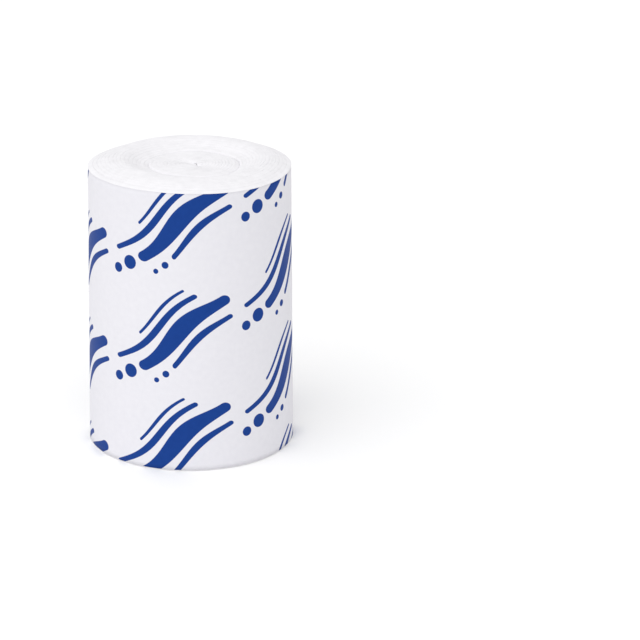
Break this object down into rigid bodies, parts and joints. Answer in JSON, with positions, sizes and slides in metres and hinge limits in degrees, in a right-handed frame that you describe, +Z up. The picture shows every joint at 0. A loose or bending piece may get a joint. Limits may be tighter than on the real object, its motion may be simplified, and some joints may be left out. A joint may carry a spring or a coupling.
{
  "type": "cast padding roll",
  "caption": "Roll of soft white cast padding standing on its end, wound in a spiral and closed by a thin printed paper sleeve with a lapped seam.",
  "frame": {"origin": "centre of the foot, on the surface that the roll stands on", "axes": "+Z up along the roll's axis; -Y towards the side that the picture shows; the strip's cut end and the sleeve's lap are at the back, +Y"},
  "size_m": [0.071, 0.0716, 0.1004],
  "materials": {
    "wadding": "matte",
    "sleeve_paper": "satin"
  },
  "bodies": {
    "root": {"padding_roll": "wadding", "paper_sleeve": "sleeve_paper"}
  },
  "joints": []
}
